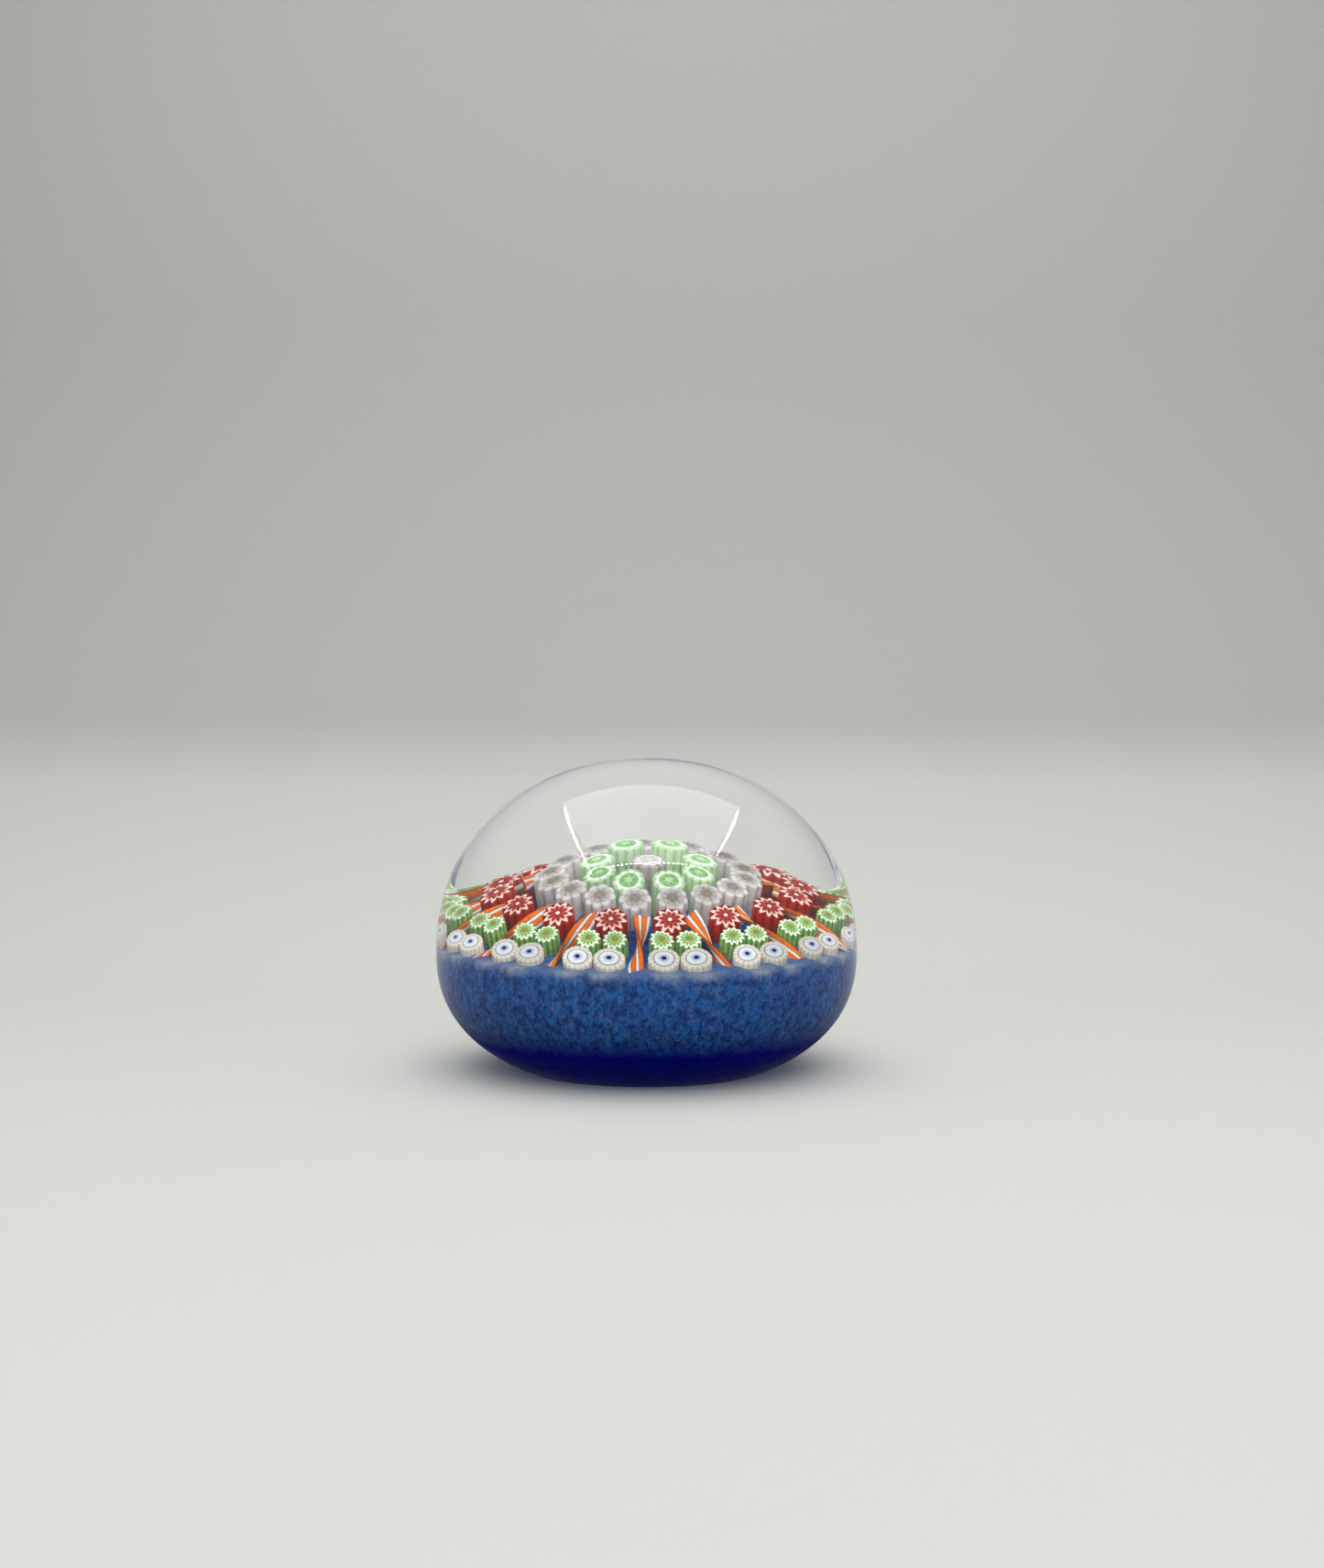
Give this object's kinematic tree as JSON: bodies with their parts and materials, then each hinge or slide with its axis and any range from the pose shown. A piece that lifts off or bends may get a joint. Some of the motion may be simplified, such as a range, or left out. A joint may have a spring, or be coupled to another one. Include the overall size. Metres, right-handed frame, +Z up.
{
  "type": "millefiori paperweight",
  "caption": "Round clear glass desk weight over a spoke pattern of patterned glass canes set in mottled blue glass; its ground foot rests on a desk and its mass holds papers down.",
  "frame": {"origin": "centre of the flat foot, at desk level", "axes": "+Z up along the weight's axis of revolution, -Y towards the front"},
  "size_m": [0.07, 0.07, 0.0518],
  "materials": {
    "clear_glass": "polished clear crystal",
    "blue_glass": "mottled blue glass frit",
    "deep_blue_glass": "deep cobalt glass, ground and polished",
    "cream_glass": "warm white opal glass",
    "lilac_grey_glass": "lilac grey glass",
    "white_glass": "white opal glass",
    "pale_blue_glass": "pale blue glass",
    "navy_glass": "navy glass",
    "light_green_glass": "light green glass",
    "pale_star_glass": "greenish white opal glass",
    "green_glass": "green glass",
    "olive_glass": "olive yellow glass",
    "red_glass": "translucent deep red glass",
    "pink_glass": "pinkish white glass",
    "dark_red_glass": "dark red glass",
    "lavender_glass": "translucent grey lavender glass",
    "pale_lavender_glass": "pale grey glass",
    "slate_glass": "grey green glass",
    "pale_green_glass": "translucent pale green glass",
    "mid_green_glass": "green glass",
    "orange_glass": "bright orange glass"
  },
  "bodies": {
    "root": {"clear_casing": "clear_glass", "twist_sleeves": "clear_glass", "blue_ground": "blue_glass", "base_gather": "deep_blue_glass", "eye_jackets": "cream_glass", "eye_rings": "lilac_grey_glass", "eye_fields": "white_glass", "centre_rings": "white_glass", "hub_ring": "white_glass", "white_ribbons": "white_glass", "eye_halos": "pale_blue_glass", "eye_pupils": "navy_glass", "green_jackets": "light_green_glass", "green_stars": "pale_star_glass", "green_hearts": "green_glass", "green_pips": "olive_glass", "red_jackets": "red_glass", "red_stars": "pink_glass", "red_pips": "pink_glass", "red_hearts": "dark_red_glass", "lavender_jackets": "lavender_glass", "lavender_stars": "pale_lavender_glass", "hub_jacket": "pale_lavender_glass", "hub_heart": "pale_lavender_glass", "lavender_hearts": "slate_glass", "centre_jackets": "pale_green_glass", "centre_pips": "pale_green_glass", "centre_fields": "mid_green_glass", "orange_ribbons": "orange_glass"}
  },
  "joints": []
}
